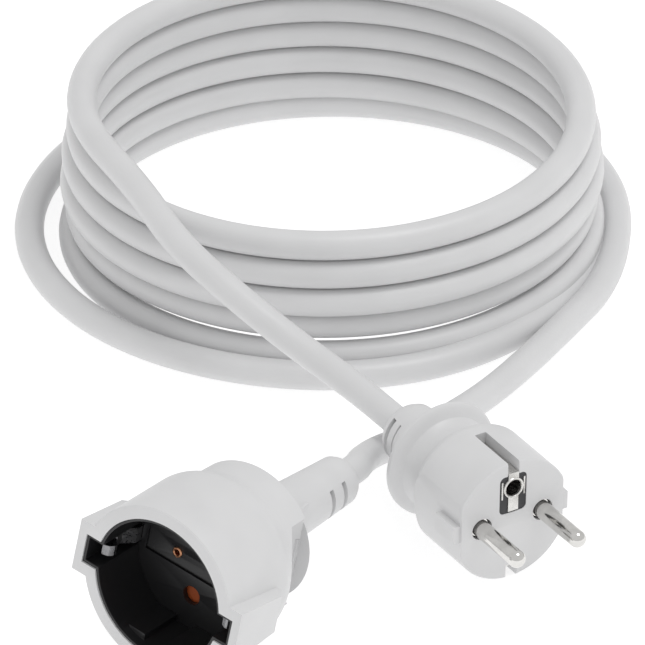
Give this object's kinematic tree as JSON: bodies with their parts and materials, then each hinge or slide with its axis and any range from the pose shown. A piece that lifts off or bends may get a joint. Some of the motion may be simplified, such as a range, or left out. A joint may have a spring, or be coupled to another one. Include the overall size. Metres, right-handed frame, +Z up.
{
  "type": "extension cord",
  "caption": "Earthed extension cord: plug with round pins, coiled white cable and an inline shuttered coupler socket.",
  "frame": {"origin": "on the floor under the middle of the coupler's box", "axes": "+Z up; +Y from the coupler's open face towards its cable"},
  "size_m": [0.2565, 0.2917, 0.0492],
  "materials": {
    "white_pvc": "satin moulded",
    "cord_sheath": "satin extruded",
    "black_insert": "semi gloss moulded",
    "carrier_plastic": "matte moulded",
    "shutter_plastic": "semi gloss moulded",
    "contact_brass": "drawn",
    "nickel_plate": "nickel plated",
    "rivet_copper": "copper plated",
    "spring_steel": "drawn wire",
    "crimp_tin": "tinned",
    "core_brown": "extruded",
    "core_blue": "extruded",
    "core_green_yellow": "extruded"
  },
  "bodies": {
    "cord_set": {"coupler_housing": "white_pvc", "coupler_socket_lining": "black_insert", "coupler_socket_floor": "black_insert", "coupler_contact_carrier": "carrier_plastic", "coupler_live_contact": "contact_brass", "coupler_neutral_contact": "contact_brass", "coupler_earth_bracket": "nickel_plate", "coupler_rivets": "rivet_copper", "coupler_crimps": "crimp_tin", "shutter_pivot": "spring_steel", "shutter_spring": "spring_steel", "coupler_core_brown": "core_brown", "coupler_core_blue": "core_blue", "coupler_core_green_yellow": "core_green_yellow", "plug_body": "white_pvc", "plug_pin_bridge": "carrier_plastic", "plug_live_pin": "nickel_plate", "plug_neutral_pin": "nickel_plate", "plug_earth_bracket": "nickel_plate", "plug_earth_socket": "nickel_plate", "plug_crimps": "crimp_tin", "plug_core_brown": "core_brown", "plug_core_blue": "core_blue", "plug_core_green_yellow": "core_green_yellow", "cord_plug_lead": "cord_sheath", "cord_coil": "cord_sheath", "cord_coupler_lead": "cord_sheath"},
    "shutter": {"shutter_rotor": "shutter_plastic"}
  },
  "joints": [
    {"name": "shutter_turn", "type": "hinge", "parent": "cord_set", "child": "shutter", "pos_m": [-0.00049, -0.02011, 0.02425], "axis": [-0.0349, 0.9984, -0.0436], "range_deg": [0, 40], "deforming": ["shutter_spring"]}
  ]
}
